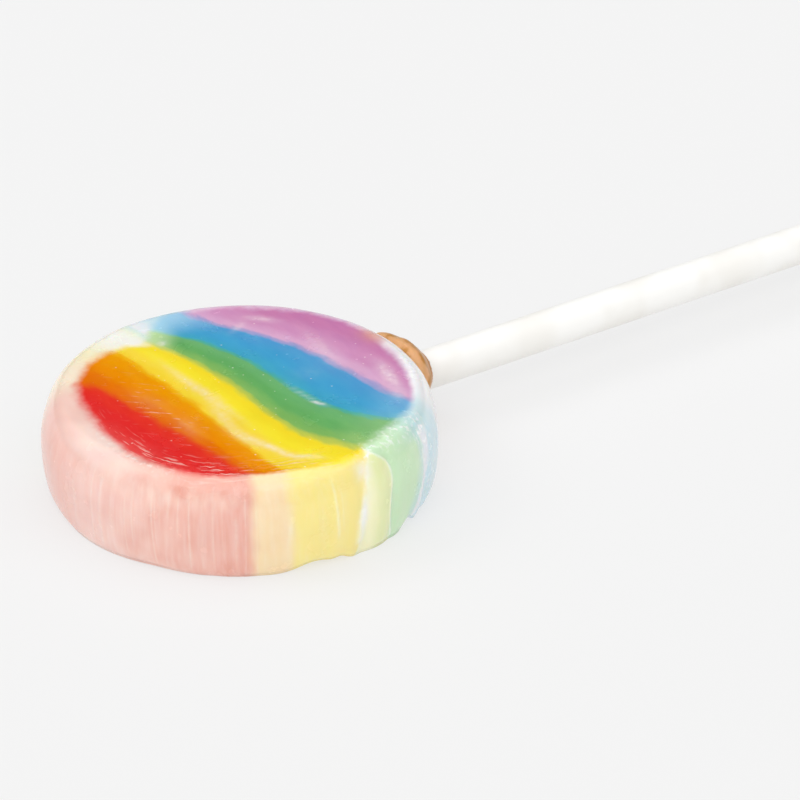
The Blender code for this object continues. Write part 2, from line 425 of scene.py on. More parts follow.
# Two painted highlights at the near edge of the lapped sheet, one at its top and one halfway down
TOP_PAINTED_HIGHLIGHT = ((-84, 2.6, 0.55),)
LOWER_PAINTED_HIGHLIGHT = 0.85
# Amber syrup soaks a little way into the sugar beside the stick
STAIN_STRENGTH = 0.7

near_top = smooth_step(height, 8.2 * MM, 9.4 * MM)
paleness_and_light = bumps(angle, PALE_PLACES) + bumps(angle, PALE_SHOULDERS) * near_top
paleness_and_light += bumps(angle, TOP_PAINTED_HIGHLIGHT) * bell(height / MM, 8.9, 0.9)
along_fold = bell(degrees - 360 - down_line(FOLD_EDGE), 0.8, 1.3)
paleness_and_light += LOWER_PAINTED_HIGHLIGHT * along_fold * bell(height / MM, 4.4, 1.6)
mint = bumps(angle, MINT_SHOULDER) * near_top
stain = STAIN_STRENGTH * bell(x / MM, 16.6, 1.2) * bell(y / MM, 1.4, 1.7) * on_top
print("palest", round(float(paleness_and_light.max()), 2), "stain", round(float(stain.max()), 2))

# %% Milky spots and a painted highlight on the face
# Middle x and y, half length and half width in mm, turn in degrees, strength
MILK_AND_HIGHLIGHT_SPOTS = (
    # The first spot, on the violet rope beside the stick, is a painted highlight; the rest are milk
    # in the sugar
    (13.1, -6.2, 2.5, 0.6, 76, 0.62),
    (11.6, -9.8, 1.0, 0.6, 66, 0.25),
    (9.3, 10.6, 1.6, 0.45, -50, 0.40),
    (6.6, 10.4, 1.1, 0.35, 25, 0.30),
    (10.9, 2.0, 3.4, 0.8, 80, 0.25),
    (-3.3, 1.5, 5.4, 0.45, 91, 0.38),
    (-4.5, -4.0, 2.6, 0.55, 82, 0.28),
    (-5.0, -8.4, 2.0, 0.55, 98, 0.34),
    (-3.8, -11.6, 2.3, 0.38, 105, 0.50),
    (-2.2, -14.6, 1.5, 0.34, 138, 0.45),
    (4.5, -6.8, 0.65, 0.22, 113, 0.80),
    (4.3, -4.6, 2.2, 0.20, 96, 0.25),
    (-1.3, 11.8, 0.5, 0.4, 0, 0.55),
    (-0.9, 12.9, 1.4, 1.0, 100, 0.10),
    (-8.6, 2.4, 2.4, 1.0, 96, 0.05),
    (-8.2, -3.6, 2.0, 0.8, 84, 0.08),
    (7.2, -1.2, 1.6, 1.4, 0, 0.05),
)
# Green and blue are paler towards both ends, where the jacket begins to cover them
END_PALENESS = 0.16
BACK_END_PALENESS = ((92, 24, 0.44),)

milk_and_highlight = np.zeros_like(radius)
for spot_x, spot_y, half_length, half_width, spot_turn, strength in MILK_AND_HIGHLIGHT_SPOTS:
    c, s = math.cos(math.radians(spot_turn)), math.sin(math.radians(spot_turn))
    away_x = x / MM - spot_x
    away_y = y / MM - spot_y
    along = (away_x * c + away_y * s) / half_length
    aside = (away_y * c - away_x * s) / half_width
    milk_and_highlight += strength * bell(along, 0, 1) * bell(aside, 0, 1)
milk_and_highlight *= on_top
towards_end = smooth_step(beyond_colour, -5.3, -0.3)
green_and_blue = smooth_step(across, 2.8, 3.3) * (1 - smooth_step(across, 4.9, 5.1))
pale_end = (END_PALENESS + bumps(angle, BACK_END_PALENESS)) * towards_end * green_and_blue
print("milky spots", len(MILK_AND_HIGHLIGHT_SPOTS), "strongest", round(float(milk_and_highlight.max()), 2))

# %% [markdown]
# Relief of pulled sugar
#
# Sugar that was pulled and rolled isn't smooth. The wall keeps fine upright lines where the
# sheet was drawn out, with a few deep folds; the face has slow waves and a wet, wrinkled lip
# where the jacket meets the core. These could be bump in a material, but they catch light at
# the edge of the shape too, so all but the finest are real geometry.

# %% Upright lines
# Degrees from the stick, lean in degrees to the foot, half width in degrees, strength,
# height of its top and bottom in mm
PULL_LINES = (
    (-178.5, 0.5, 0.9, 0.35, 8.0, 0.5),
    (-170.4, 0.2, 0.30, 0.55, 8.6, 0.8),
    (-166.8, 0.3, 0.65, 0.50, 8.2, 0.4),
    (-163.0, 0.6, 0.5, 0.20, 7.2, 1.5),
    (-157.8, 0.4, 0.30, 0.45, 8.0, 1.0),
    (-155.4, 0.5, 0.25, 0.45, 8.8, 2.0),
    (-149.6, 1.6, 0.30, 0.60, 8.6, 0.3),
    (-148.4, 1.2, 0.25, 0.50, 8.3, 3.0),
    (-146.6, 0.5, 0.30, 0.35, 8.6, 5.0),
    (-144.0, 0.4, 0.35, 0.45, 8.6, 5.6),
    (-141.2, 0.5, 0.28, 0.50, 8.4, 4.2),
    (-138.0, 0.7, 0.28, 0.70, 8.6, 0.6),
    (-134.2, 0.3, 0.28, 0.30, 8.2, 1.0),
    (-131.2, 0.5, 0.30, 0.45, 8.4, 0.8),
    (-128.6, 0.8, 0.35, 0.30, 8.3, 2.0),
    (-124.6, 0.4, 0.6, 0.45, 7.0, 0.1),
    (-121.8, -0.1, 0.20, 0.60, 8.8, 0.2),
    (-118.8, 0.3, 0.22, 0.35, 8.3, 0.4),
    (-108.6, -1.0, 0.8, 0.55, 6.6, 3.2),
    (-95.6, 1.8, 0.45, 0.75, 9.0, 3.0),
    (-93.2, 0.6, 0.30, 0.30, 8.0, 4.0),
)
# Lines that follow a fold: half width in degrees, strength, top and bottom in mm, the line. The
# second and strongest is also a painted highlight low in the fold
FOLD_LINES = (
    (0.8, 1.0, 8.6, 5.6, FOLD_EDGE),
    (1.3, 1.8, 5.4, 1.6, FOLD_EDGE),
    (0.42, 1.5, 10.3, 0.2, LAP_EDGE),
    (0.6, 0.5, 9.4, 3.0, STRIP_LEFT),
)
HIDDEN_LINES = 60
FINE_LINES = 420
# The sheet was drawn out most at the pink side. It lies smoother in these places, given by
# degrees from the stick, half width and how much of the fine or the strong lines is lost
SMOOTH_SIDES = ((-84, 34, 0.75), (145, 40, 0.8))
SMOOTH_BACK = ((130, 50, 0.85),)

draw = np.random.default_rng(7)


def random_lines(count, first, last, widths, strengths):
    """Seeded random upright lines between two angles, most of them running to the foot."""
    return tuple(zip(
        draw.uniform(first, last, count),
        draw.normal(0.3, 0.5, count),
        draw.uniform(*widths, count),
        draw.uniform(*strengths, count),
        draw.uniform(6.5, 9.0, count),
        draw.uniform(0.2, 3.5, count),
    ))


def upright_lines(lines):
    """Sum of upright ridges: each a bell curve in angle whose middle leans as it goes down."""
    total = np.zeros_like(radius)
    down = 1 - height / HEAD_THICKNESS
    for middle, lean, half_width, strength, top, bottom in lines:
        offset = (degrees - middle - lean * down + 180) % 360 - 180
        reach_up = 1 - smooth_step(height, (top - 0.7) * MM, (top + 0.5) * MM)
        reach_down = smooth_step(height, (bottom - 0.5) * MM, (bottom + 0.9) * MM)
        total += strength * bell(offset, 0, half_width) * reach_up * reach_down
    return total


def fold_lines(lines):
    """Sum of ridges that follow the lapped lines down the wall, each a bell curve in angle."""
    total = np.zeros_like(radius)
    for half_width, strength, top, bottom, places in lines:
        offset = (degrees - down_line(places) + 180) % 360 - 180
        reach_up = 1 - smooth_step(height, (top - 0.6) * MM, top * MM)
        reach_down = smooth_step(height, (bottom - 0.4) * MM, (bottom + 0.4) * MM)
        total += strength * bell(offset, 0, half_width) * reach_up * reach_down
    return total


on_wall = smooth_step(radius, 17.4 * MM, 18.6 * MM)
hidden = random_lines(HIDDEN_LINES, -40, 150, (0.3, 0.9), (0.1, 0.4))
fine = random_lines(FINE_LINES, -180, 180, (0.2, 0.45), (-0.28, 0.28))
drawn_out = 1 - bumps(angle, SMOOTH_SIDES)
pull_and_highlight = np.clip(upright_lines(PULL_LINES + hidden), 0, 1) * on_wall
pull_and_highlight = pull_and_highlight * (1 - bumps(angle, SMOOTH_BACK)) + fold_lines(FOLD_LINES)
fine_pull = upright_lines(fine) * on_wall * drawn_out
print("pull lines", len(PULL_LINES + hidden), "and fine", len(fine))

# %% Wrinkles, streaks, clumps, patches and painted sheen
# Wet wrinkles near the core's edge: degrees from the stick, half width, strength
WRINKLE_PLACES = ((-162, 24, 0.7), (-130, 24, 1.15), (-100, 14, 0.5))
# Short streaks lie over the orange rope and the edge of the red one, painted as glints with a little
# bump
STREAK_STRENGTH = 1.1
# Clumps of graining sugar: degrees from the stick, half width, strength, then middle and
# half width in millimetres beyond the colour's edge
CLUMP_PLACES = (
    (-79, 5, 1.0, 0.4, 0.8),
    (-66, 8, 1.0, 1.0, 0.9),
    (-54, 5, 1.2, 1.6, 1.3),
    (-163, 17, 0.5, 0.5, 0.5),
)
# Paler patches hang from the shoulder on the pink side, partly milk and partly painted light where
# the wall turns up to the lamps, and a painted sheen lies over its left end
MILK_AND_LIGHT_PATCHES = ((-146, 17, 0.8), (-124, 9, 0.5))
PAINTED_SHEEN_PLACES = ((-178, 36, 1.0),)

wrinkle_zone = bumps(angle, WRINKLE_PLACES) * bell(beyond_colour, -0.9, 1.8)
streak_zone = STREAK_STRENGTH * bell(x / MM, -8.3, 2.6) * bell(y / MM, -0.5, 6.0) * on_top
clump_zone = np.zeros_like(radius)
for *place, beyond, reach_past in CLUMP_PLACES:
    clump_zone += bumps(angle, (place,)) * bell(beyond_colour, beyond, reach_past)
patches = np.clip(0.45 + 0.5 * soft_noise(x, y, height * 0.2, 1.4 * MM, 43), 0, 1)
patches_and_sheen = bumps(angle, MILK_AND_LIGHT_PATCHES) * bell(height / MM, 8.1, 0.9) * patches
patches_and_sheen = np.where(radius > 17 * MM, patches_and_sheen, 0)
sheen_patches = np.clip(0.85 + 0.4 * soft_noise(x, y, height, 2.6 * MM, 47), 0, 1.3)
patches_and_sheen += bumps(angle, PAINTED_SHEEN_PLACES) * bell(beyond_colour, 1.3, 1.9) * sheen_patches
print("clumps", round(float(clump_zone.max()), 2), "patches_and_sheen", round(float(patches_and_sheen.max()), 2))

# %% Displaced head surface
WAVE_HEIGHT = 0.05 * MM
LIP_HEIGHT = 0.018 * MM
PULL_HEIGHT = 0.05 * MM
FINE_HEIGHT = 0.025 * MM
WRINKLE_HEIGHT = 0.035 * MM
CLUMP_HEIGHT = 0.05 * MM
# The relief is sunk this far, so that no crest stands out past the construction model
RELIEF_ROOM = 0.16 * MM
FOLD_SHARE = 0.5

waves = soft_noise(x, y, height, 9 * MM, 3)
lip_break = 0.6 + 0.4 * soft_noise(x, y, height, 2.2 * MM, 11)
lip = LIP_HEIGHT * lip_break * bell(beyond_core, 0.5, 0.5)
wrinkles = soft_noise(x * 1.4, y * 1.4, height, 1.0 * MM, 13)
clumps = np.clip(soft_noise(x, y, height, 1.1 * MM, 17), -0.2, 1.5)
relief = WAVE_HEIGHT * waves + lip
relief += WRINKLE_HEIGHT * wrinkles * wrinkle_zone + CLUMP_HEIGHT * clumps * clump_zone
relief += PULL_HEIGHT * pull_and_highlight + FINE_HEIGHT * fine_pull
relief = np.minimum(relief - RELIEF_ROOM, 0)
is_under = np.arange(radius.shape[0])[:, None] >= radius.shape[0] - UNDER_RINGS
relief = np.where(is_under, 0, relief)

profile_out = np.gradient(radius, axis=0)
profile_down = np.gradient(height, axis=0)
length = np.hypot(profile_out, profile_down) + 1e-9
fold = FOLD_SHARE * bumps(angle, JACKET_FOLDS) * smooth_step(radius, 17.2 * MM, 19.1 * MM)
head_radius = radius + fold - relief * profile_down / length
head_height = np.maximum(height + relief * profile_out / length, 0)
rows = np.stack([head_radius * np.cos(angle), head_radius * np.sin(angle), head_height], axis=-1)

head = grid_piece("candy_head", rows, (0, 0, head_height[0].mean()), (0, 0, 0))

# %% Numbers on the head's points
# The head's middle lies just past the third seam, far inside the colour's edge
MIDDLE_ACROSS = 3.1
MIDDLE_BEYOND = -16
# The sheet's wisps show on the wall and are a breath on the face
FACE_WISPS = 0.2

add_attribute(head, "across", across, MIDDLE_ACROSS)
add_attribute(head, "beyond_colour", beyond_colour, MIDDLE_BEYOND)
add_attribute(head, "cover_place", cover_place, MIDDLE_BEYOND)
add_attribute(head, "wisps", drawn_out * (FACE_WISPS + (1 - FACE_WISPS) * on_wall), FACE_WISPS)
for name, grid in {
    "tint": tint, "paleness_and_light": paleness_and_light, "mint": mint, "stain": stain, "milk_and_highlight": milk_and_highlight,
    "pale_end": pale_end, "pull_line_and_highlight": pull_and_highlight, "patches_and_sheen": patches_and_sheen, "wrinkle": wrinkle_zone,
    "streak": streak_zone, "clump": clump_zone,
}.items():
    add_attribute(head, name, grid, 0)
print("numbers on each point", len(head.data.attributes))

# %% [markdown]
# Finish of the boiled sugar
#
# Boiled sugar is a glass: clear, hard and glossy, with a refractive index of about 1.5. The
# stripes are dyed through, and the jacket is sugar that was pulled until it is full of tiny
# air bubbles, so it scatters light and takes a pale tint from the stripe behind it. A true
# volume would be slow and is lost in an exported model. Instead two colour ramps, one for
# the bare core and one for the jacket over it, read the numbers on the points, and
# subsurface scattering softens them as the depth of the sugar does.

# %% Sugar colours
# Places across the core: whole numbers are the seams, as in stripe_coordinate
CORE_STOPS = (
    (0.10, "#e84848"), (0.55, "#e42c2c"), (0.84, "#e53226"), (1.16, "#e77404"),
    (1.45, "#ee8f00"), (1.85, "#ef9c00"), (1.95, "#f2b20c"), (2.08, "#fad838"),
    (2.30, "#fdde44"), (2.60, "#fee832"), (2.92, "#f8e02a"),
    (3.07, "#bccb54"), (3.20, "#80b964"), (3.50, "#66b066"), (3.88, "#6cb474"),
    (4.00, "#50b0a2"), (4.10, "#42a8ce"), (4.45, "#44a4d8"), (4.93, "#52a0d9"),
    (5.03, "#a2a2d6"), (5.13, "#dbacd4"), (5.45, "#d294c3"), (5.90, "#c87fb4"),
)
# Tints of the jacket, numbered as in TINT_BORDERS
LAST_TINT = 8
JACKET_STOPS = (
    (0, "#e9a999"), (1, "#f8ddb0"), (2, "#fae791"), (3, "#f4f3c8"), (3.45, "#e7edb4"),
    (4, "#cbe9c1"), (4.5, "#bfe2d6"), (5, "#e6eaef"), (6, "#c6e4ee"), (7, "#f4f4f7"),
    (8, "#f0dcec"),
)
MILK_AND_HIGHLIGHT_WHITE = linear("#fcf0f0")
LIME = linear("#e0f8ba")
SKY_BLUE = linear("#d2f4ff")
PALE_AND_LIT_WHITE = linear("#f9f9fb")
WISP_WHITE = linear("#fdf6f2")
CLOUD_SHADE = linear("#f6eae2")
SHEEN_PEACH = linear("#ffe6d8")
MINT = linear("#c8e6e6")
LINE_WHITE = linear("#fffff4")
SOAKED_AMBER = linear("#e0a088")

sugar, tree, shader = new_material("pulled_boiled_sugar")
position = add_node(tree, "ShaderNodeTexCoord").outputs["Object"]


def read(name):
    """Socket that gives one of the numbers stored on the points."""
    return add_node(tree, "ShaderNodeAttribute", {"attribute_name": name}).outputs["Fac"]


def noise(scale, detail=3.0, stretch=None):
    """Noise from 0 to 1 with a scale in cells per metre, or one for each axis."""
    vector = position
    if stretch:
        vector = add_node(tree, "ShaderNodeMapping", Vector=position, Scale=stretch).outputs[0]
    return add_node(
        tree, "ShaderNodeTexNoise", Vector=vector, Scale=scale, Detail=detail,
    ).outputs["Fac"]


def remap(value, low, high, new_low=0.0, new_high=1.0):
    """Straight map from one range to another, held at its ends."""
    return add_node(
        tree, "ShaderNodeMapRange",
        Value=value, From_Min=low, From_Max=high, To_Min=new_low, To_Max=new_high,
    ).outputs[0]


def combine(operation, first, second):
    """Math node on two sockets or numbers."""
    return add_node(tree, "ShaderNodeMath", {"operation": operation}, _0=first, _1=second).outputs[0]


def mix(amount, first, second, blend="MIX"):
    """Mix of two colours."""
    return add_node(
        tree, "ShaderNodeMix", {"data_type": "RGBA", "blend_type": blend},
        _0=amount, _6=first, _7=second,
    ).outputs[2]


# %% Core and jacket
# The seams wander by a fraction of a stripe, in waves a millimetre or more long
wander = remap(noise(1.0, 3.0, (900, 350, 300)), 0.3, 0.7, -0.05, 0.05)
core_place = combine("DIVIDE", combine("ADD", read("across"), wander), float(STRIPES))
core_ramp = add_node(tree, "ShaderNodeValToRGB", Fac=core_place)
fill_ramp(core_ramp, [(place / STRIPES, code) for place, code in CORE_STOPS])
# Uneven dye along the stripes, and milk in spots, one of them a painted highlight on the violet rope
dye = remap(noise(1.0, 3.0, (800, 240, 300)), 0.35, 0.75, 0.0, 0.22)
dyed = mix(dye, core_ramp.outputs["Color"], linear("#fff2dc"), "SOFT_LIGHT")
deep = mix(1.0, dyed, linear("#fcf9f6"), "MULTIPLY")
# The green rope goes lime where it thins out, and the blue one goes sky blue
thin_colour = mix(remap(read("across"), 3.9, 4.15), LIME, SKY_BLUE)
ended = mix(read("pale_end"), deep, thin_colour)
milk_break = remap(noise(1500.0), 0.3, 0.6, 0.55, 1.1)
milk_and_highlight_mixed = mix(combine("MULTIPLY", read("milk_and_highlight"), milk_break), ended, MILK_AND_HIGHLIGHT_WHITE)

jacket_place = combine("DIVIDE", read("tint"), float(LAST_TINT))
jacket_ramp = add_node(tree, "ShaderNodeValToRGB", Fac=jacket_place)
fill_ramp(jacket_ramp, [(place / LAST_TINT, code) for place, code in JACKET_STOPS], "LINEAR")
# Paler sugar, painted light on the back and left, and the painted highlights by the fold all draw
# the tint towards white
paled_and_lit = mix(read("paleness_and_light"), jacket_ramp.outputs["Color"], PALE_AND_LIT_WHITE)
# Milky wisps drawn out upwards, 0.4 mm and 1.3 mm wide and almost as tall as the head
thin_wisp = remap(noise(1.0, 4.0, (2600, 2600, 110)), 0.45, 0.75, 0.0, 0.15)
wide_wisp = remap(noise(1.0, 3.0, (750, 750, 120)), 0.40, 0.70, 0.0, 0.18)
wisps = combine("MULTIPLY", combine("ADD", thin_wisp, wide_wisp), read("wisps"))
cloud = combine("MULTIPLY", remap(noise(420.0), 0.45, 0.7, 0.0, 0.4), read("wisps"))
clouded = mix(cloud, mix(wisps, paled_and_lit, WISP_WHITE), CLOUD_SHADE, "MULTIPLY")
# Painted sheen and light over the shoulder, with the milky patches, in a pale peach
sheen_painted = mix(combine("MULTIPLY", read("patches_and_sheen"), 0.56), clouded, SHEEN_PEACH)
minted = mix(read("mint"), sheen_painted, MINT)
# The upright lines are broken up, and half way from the jacket's tint to white; the strong line low
# in the fold is a painted highlight
line_break = remap(noise(1400.0), 0.35, 0.6, 0.5, 0.9)
line_colour = mix(0.5, paled_and_lit, LINE_WHITE)
lined = mix(combine("MULTIPLY", read("pull_line_and_highlight"), line_break), minted, line_colour)

# The jacket thins out over the core's edge in a soft, slightly ragged line
ragged = remap(noise(600.0, 4.0), 0.3, 0.7, -0.3, 0.3)
cover = add_node(
    tree, "ShaderNodeMapRange", {"interpolation_type": "SMOOTHSTEP"},
    Value=combine("ADD", read("cover_place"), ragged), From_Min=-1.0, From_Max=0.8,
).outputs[0]
sugar_colour = mix(read("stain"), mix(cover, milk_and_highlight_mixed, lined), SOAKED_AMBER)

# %% Painted glints on wrinkles
# Cells of noise for each radian round the head and each millimetre outwards, and how far the
# painted glints go towards pale pink
DASHES_ROUND = 6.0
DASHES_OUTWARD = 3.8
GLINT_PAINT_SHARE = 0.55

# Glints on fine wrinkles near the core's front edge are painted as pale dashes drawn out round
# the head: the noise is read on a cylinder, so its cells are long round the head and short outwards
apart = add_node(tree, "ShaderNodeSeparateXYZ", Vector=position)
flat = add_node(tree, "ShaderNodeCombineXYZ", X=apart.outputs["X"], Y=apart.outputs["Y"])
ring_way = add_node(
    tree, "ShaderNodeVectorMath", {"operation": "NORMALIZE"}, _0=flat.outputs[0],
)
ring_parts = add_node(tree, "ShaderNodeSeparateXYZ", Vector=ring_way.outputs["Vector"])
ring_place = add_node(
    tree, "ShaderNodeCombineXYZ",
    X=combine("MULTIPLY", ring_parts.outputs["X"], DASHES_ROUND),
    Y=combine("MULTIPLY", ring_parts.outputs["Y"], DASHES_ROUND),
    Z=combine("MULTIPLY", read("beyond_colour"), DASHES_OUTWARD),
)
dash_noise = add_node(
    tree, "ShaderNodeTexNoise", Vector=ring_place.outputs[0], Scale=1.0, Detail=2.0,
).outputs["Fac"]
wrinkle_glint = combine("MULTIPLY", remap(dash_noise, 0.58, 0.70), read("wrinkle"))
# Other painted glints lie askew over the orange rope, 2 mm long and 0.4 mm wide
askew = add_node(
    tree, "ShaderNodeMapping", {"vector_type": "TEXTURE"},
    Vector=position, Rotation=(0, 0, math.radians(-45)), Scale=(2.0 * MM, 0.4 * MM, 2.0 * MM),
)
askew_noise = add_node(
    tree, "ShaderNodeTexNoise", Vector=askew.outputs[0], Scale=1.0, Detail=2.0,
).outputs["Fac"]
streak = combine("MULTIPLY", remap(askew_noise, 0.62, 0.72), read("streak"))
painted_glints = combine("MULTIPLY", combine("MAXIMUM", wrinkle_glint, streak), GLINT_PAINT_SHARE)
# The dashes and streaks are painted pale pink, as glints
glints_painted = mix(painted_glints, sugar_colour, linear("#fbdcd0"))

# %% Round bubbles and crumbs
# Round bubbles of 0.2 mm lie under the bare core, some ten to a square centimetre: the
# cells' centres, of which the share with the highest random number is kept
cell = add_node(tree, "ShaderNodeTexVoronoi", Vector=position, Scale=1200.0)
kept = add_node(tree, "ShaderNodeSeparateColor", Color=cell.outputs["Color"]).outputs["Red"]
bubble = combine(
    "MULTIPLY", remap(cell.outputs["Distance"], 0.06, 0.14, 1.0, 0.0), remap(kept, 0.7, 1.0),
)
bubble_show = combine("MULTIPLY", bubble, remap(cover, 0.0, 1.0, 0.6, 0.0))
bubbled = mix(bubble_show, glints_painted, linear("#fff6ee"))
# Crumbs of graining sugar glitter where the lapped sheet meets the core
crumbs = combine("MULTIPLY", remap(noise(1900.0, 4.0), 0.52, 0.66), read("clump"))
frosted = mix(combine("MULTIPLY", crumbs, 0.8), bubbled, linear("#ffffff"))
tree.links.new(frosted, shader.inputs["Base Color"])
print("sugar nodes", len(tree.nodes))

# %% Gloss
# The gloss is uneven, with pits 0.4 mm wide, and the dashes stand a little proud, so each
# has its own glint
tree.links.new(remap(noise(450.0), 0.3, 0.7, 0.14, 0.30), shader.inputs["Roughness"])
pit_bump = add_node(
    tree, "ShaderNodeBump", Height=noise(2600.0, 2.0), Strength=0.10, Distance=0.05 * MM,
)
crumb_height = combine("MULTIPLY", combine("MAXIMUM", crumbs, streak), 0.25)
dash_height = combine("ADD", combine("MULTIPLY", dash_noise, read("wrinkle")), crumb_height)
dash_bump = add_node(
    tree, "ShaderNodeBump",
    Height=dash_height, Strength=0.4, Distance=0.15 * MM, Normal=pit_bump.outputs[0],
)
tree.links.new(dash_bump.outputs[0], shader.inputs["Normal"])
set_values(shader, {
    "IOR": 1.5, "Subsurface Weight": 0.35, "Subsurface Radius": (1.0, 0.7, 0.5),
    "Subsurface Scale": 0.9 * MM, "Coat Weight": 0.15, "Coat Roughness": 0.06,
})

head.data.materials.append(sugar)
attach(head, "root")
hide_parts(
    "jacket", "stripe_red", "stripe_orange", "stripe_yellow", "stripe_green",
    "stripe_blue", "stripe_violet",
)
print("nodes with gloss", len(tree.nodes))

# %% [markdown]
# Amber lump
#
# Syrup was dabbed round the stick where it goes in, and set as a glossy, uneven lump that
# creeps a little way up the stick. It is a flattened ball: an ellipse in every direction,
# with other sizes above and below and inside and outside, drawn out where it wets the paper.

# %% Amber lump surface
COLLAR_CENTRE = np.array([18.75, 0.3, 5.9]) * MM
COLLAR_PROUD = 2.2 * MM
COLLAR_SUNK = 1.4 * MM
COLLAR_HALF_WIDTH = 4.8 * MM
COLLAR_RISE = 3.6 * MM
COLLAR_DROP = 3.9 * MM
# Degrees round the stick, half width, share of the size
COLLAR_LUMPS = (
    (40, 16, 0.06), (78, 14, -0.05), (128, 18, 0.05), (205, 20, -0.06), (300, 24, 0.05),
)
STICK_RADIUS = 2.0 * MM
STICK_HEIGHT = 5.15 * MM
CREEP = 0.7 * MM
CREEP_REACH = 0.45 * MM
SAG_DEPTH = 0.07 * MM


def lump_rows(around, down):
    """Rings of a flattened ball from its outer tip to its sunk tip, with the syrup's creep.

    A ring at turn t lies at cos t times the reach, and its ellipse is sin t times the half
    sizes. Creep adds a push along the stick that fades with the distance from its surface.
    """
    ring_angle = np.linspace(0, 2 * math.pi, around, endpoint=False)[None, :]
    turn = np.linspace(0, math.pi, down + 1)[1:-1, None]
    uneven = 1 + bumps(ring_angle, COLLAR_LUMPS)
    reach = np.where(turn < math.pi / 2, COLLAR_PROUD, COLLAR_SUNK)
    half_height = np.where(np.sin(ring_angle) > 0, COLLAR_RISE, COLLAR_DROP)
    along = reach * np.cos(turn) + 0 * ring_angle
    across_lump = COLLAR_HALF_WIDTH * np.sin(turn) * uneven * np.cos(ring_angle)
    up = half_height * np.sin(turn) * uneven * np.sin(ring_angle)
    points = np.stack([along, across_lump, up], axis=-1) + COLLAR_CENTRE
    from_axis = np.hypot(points[..., 1], points[..., 2] - STICK_HEIGHT)
    wet = np.exp(-np.clip(from_axis - STICK_RADIUS, 0, None) / CREEP_REACH)
    points[..., 0] += np.where(turn < math.pi / 2, CREEP * wet, 0)
    sag = soft_noise(points[..., 0], points[..., 1], points[..., 2], 2.4 * MM, 21)
    points[..., 0] += SAG_DEPTH * sag * np.sin(turn)
    return points


lump = lump_rows(around=120, down=72)
collar = grid_piece(
    "amber_lump", lump, lump[0].mean(axis=0).tolist(), lump[-1].mean(axis=0).tolist(),
)

# %% Amber finish
# Set syrup is browned and clear, so light sinks in and it glows orange, under a soft gloss
AMBER_STOPS = (
    (0.04, "#dca878"), (0.28, "#bf8642"), (0.50, "#b87a28"), (0.76, "#c47806"), (1.0, "#b8741a"),
)

amber, tree, shader = new_material("set_amber_syrup")
position = add_node(tree, "ShaderNodeTexCoord").outputs["Object"]
# The syrup is thin, so paler, where it meets the jacket, and deep at its outer edge
outward = add_node(tree, "ShaderNodeSeparateXYZ", Vector=position).outputs["X"]
depth = remap(outward, 18.9 * MM, 20.9 * MM)
mottle = remap(noise(500.0), 0.3, 0.7, -0.3, 0.3)
amber_ramp = add_node(tree, "ShaderNodeValToRGB", Fac=combine("ADD", depth, mottle))
fill_ramp(amber_ramp, AMBER_STOPS)
tree.links.new(amber_ramp.outputs["Color"], shader.inputs["Base Color"])
set_values(shader, {
    "Roughness": 0.30, "Specular IOR Level": 0.3, "IOR": 1.49,
    "Subsurface Weight": 0.4, "Subsurface Radius": (1.0, 0.55, 0.25),
    "Subsurface Scale": 1.0 * MM, "Coat Weight": 0.05, "Coat Roughness": 0.12,
})
collar.data.materials.append(amber)
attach(collar, "root")
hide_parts("amber_collar")
print("amber nodes", len(tree.nodes))

# %% [markdown]
# Paper stick
#
# A lollipop stick is a strip of paper rolled tight like a scroll and pressed. Outside it is
# almost smooth, with one fine lap where the strip ends; its cut end shows the scroll's turns.
# A plain cylinder would lose both, so the stick is a grid of rings whose radius has the lap,
# and whose end rings follow a spiral.

# %% Paper stick surface
stick_low, stick_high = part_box("paper_stick")
STICK_EDGE = 0.2 * MM
LAP_ANGLE = math.radians(-35)
LAP_STEP = 0.035 * MM
LAP_FADE = 1.2
LAP_DEPTH = 0.3 * MM
PAPER_THICKNESS = 0.16 * MM
SCROLL_DEPTH = 0.035 * MM
SCROLL_EYE = 0.3 * MM


def stick_rows(around, along, rim, scroll):
    """Rings from the sunk end to the free end: cut face, rounded rim, shaft, rim, cut face.

    The shaft's radius has a step at the lap and fades back over half a turn. On a cut face
    the depth is a cosine of radius / paper thickness - angle / turn, which draws the scroll.
    """
    ring_angle = np.linspace(0, 2 * math.pi, around, endpoint=False)[None, :]
    face = np.linspace(0, 1, scroll + 1)[1:, None] * (STICK_RADIUS - STICK_EDGE)
    bend = np.linspace(0, math.pi / 2, rim + 1)[1:, None]
    rim_radius = STICK_RADIUS - STICK_EDGE + STICK_EDGE * np.sin(bend)
    rim_reach = STICK_EDGE * (1 - np.cos(bend))
    shaft = np.linspace(stick_low.x + STICK_EDGE, stick_high.x - STICK_EDGE, along)[1:-1, None]
    spiral = np.cos(2 * math.pi * face / PAPER_THICKNESS - ring_angle)
    dent = SCROLL_DEPTH * (1 + spiral) * smooth_step(face, 0, SCROLL_EYE)
    end_radius = np.concatenate([face, rim_radius])
    end_reach = np.concatenate([dent, rim_reach + 0 * ring_angle])
    ring_radius = np.concatenate([end_radius, STICK_RADIUS + 0 * shaft, end_radius[::-1]])
    place = np.concatenate([
        stick_low.x + end_reach, shaft + 0 * ring_angle, stick_high.x - end_reach[::-1],
    ])
    past_lap = (ring_angle - LAP_ANGLE) % (2 * math.pi)
    near_outside = smooth_step(ring_radius, STICK_RADIUS - LAP_DEPTH, STICK_RADIUS)
    full = ring_radius + LAP_STEP * (np.exp(-past_lap / LAP_FADE) - 0.3) * near_outside
    return np.stack([
        place, full * np.cos(ring_angle), STICK_HEIGHT + full * np.sin(ring_angle),
    ], axis=-1)


stick_grid = stick_rows(around=120, along=90, rim=5, scroll=44)
stick = grid_piece(
    "paper_stick_rolled", stick_grid,
    (stick_low.x + SCROLL_DEPTH, 0, STICK_HEIGHT), (stick_high.x - SCROLL_DEPTH, 0, STICK_HEIGHT),
)

